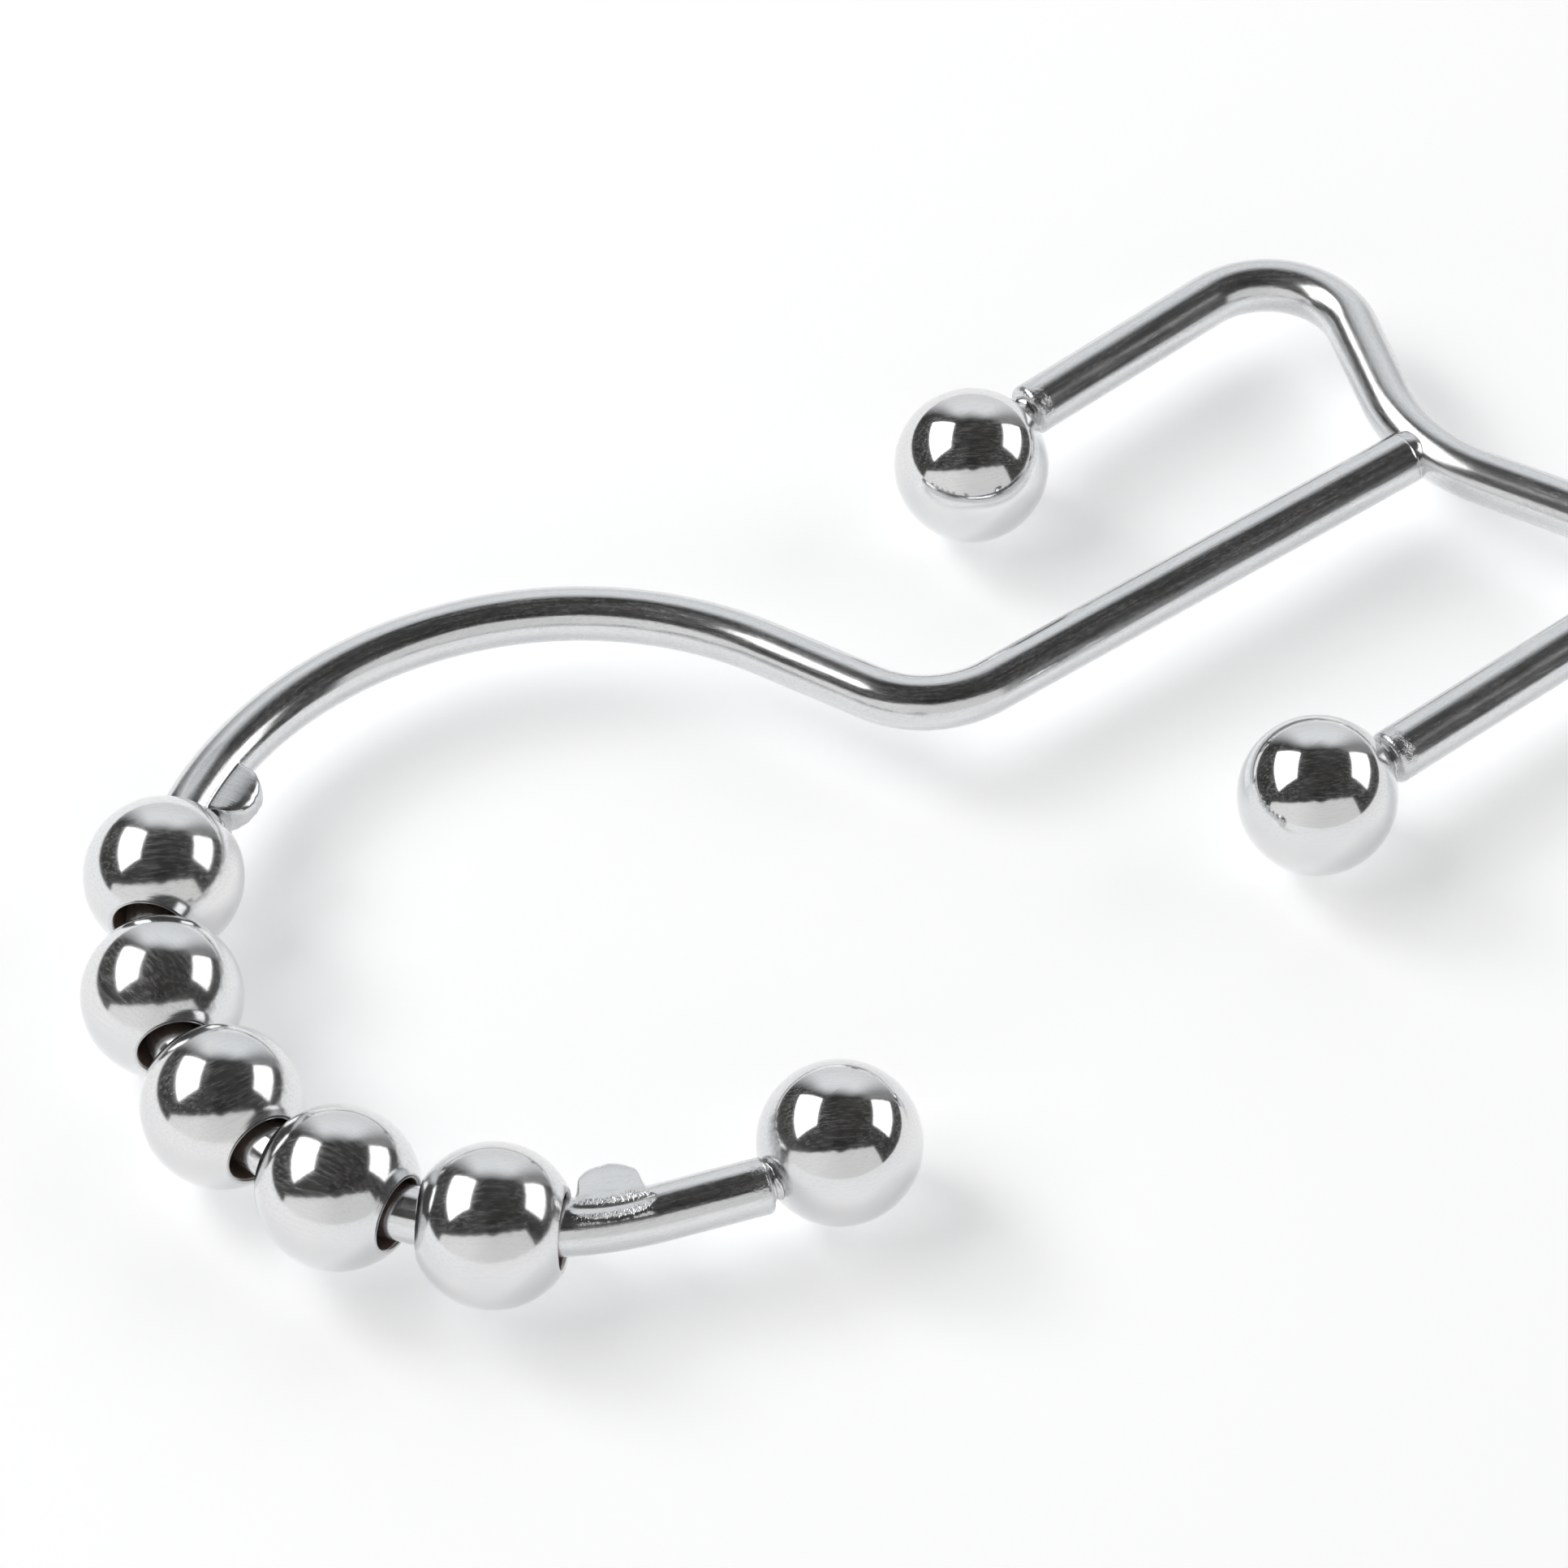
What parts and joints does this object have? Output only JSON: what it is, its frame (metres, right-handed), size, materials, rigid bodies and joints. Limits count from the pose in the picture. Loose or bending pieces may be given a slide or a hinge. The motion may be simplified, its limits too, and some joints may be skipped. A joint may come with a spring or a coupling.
{
  "type": "double roller curtain hook",
  "caption": "Chrome wire curtain hook: an open rod arc with loose roller balls between two stops, and a shank with a welded cross wire ending in two ball-tipped curtain hooks.",
  "frame": {"origin": "the rod's axis, at the centre of the rod arc, in the mid plane of the wires", "axes": "+Z along the rod's axis and up as the hook lies flat, +X along the shank from the rod arc to the two curtain hooks, -Y out of the arc's mouth"},
  "size_m": [0.0821, 0.0455, 0.008],
  "materials": {
    "wire_chrome": "bright chrome plate on drawn steel wire",
    "ball_chrome": "bright chrome plate on a smooth steel ball",
    "roller_chrome": "bright chrome plate with fine turning marks round the bore"
  },
  "bodies": {
    "hook": {"main_wire": "wire_chrome", "tip_ball": "ball_chrome", "cross_wire": "wire_chrome", "far_hook_ball": "ball_chrome", "near_hook_ball": "ball_chrome"},
    "roller_1": {"roller_1": "roller_chrome"},
    "roller_2": {"roller_2": "roller_chrome"},
    "roller_3": {"roller_3": "roller_chrome"},
    "roller_4": {"roller_4": "roller_chrome"},
    "roller_5": {"roller_5": "roller_chrome"}
  },
  "joints": [
    {"name": "roller_1_spin", "type": "hinge", "parent": "hook", "child": "roller_1", "pos_m": [-0.01434, 0.01353, 0], "axis": [-0.6863, -0.7273, 0], "continuous": true},
    {"name": "roller_2_spin", "type": "hinge", "parent": "hook", "child": "roller_2", "pos_m": [-0.01845, 0.00695, 0], "axis": [-0.3526, -0.9358, 0], "continuous": true},
    {"name": "roller_3_spin", "type": "hinge", "parent": "hook", "child": "roller_3", "pos_m": [-0.01971, -0.00071, 0], "axis": [0.0358, -0.9994, 0], "continuous": true},
    {"name": "roller_4_spin", "type": "hinge", "parent": "hook", "child": "roller_4", "pos_m": [-0.01791, -0.00825, 0], "axis": [0.4185, -0.9082, 0], "continuous": true},
    {"name": "roller_5_spin", "type": "hinge", "parent": "hook", "child": "roller_5", "pos_m": [-0.01323, -0.01462, 0], "axis": [0.7414, -0.6711, 0], "continuous": true}
  ]
}
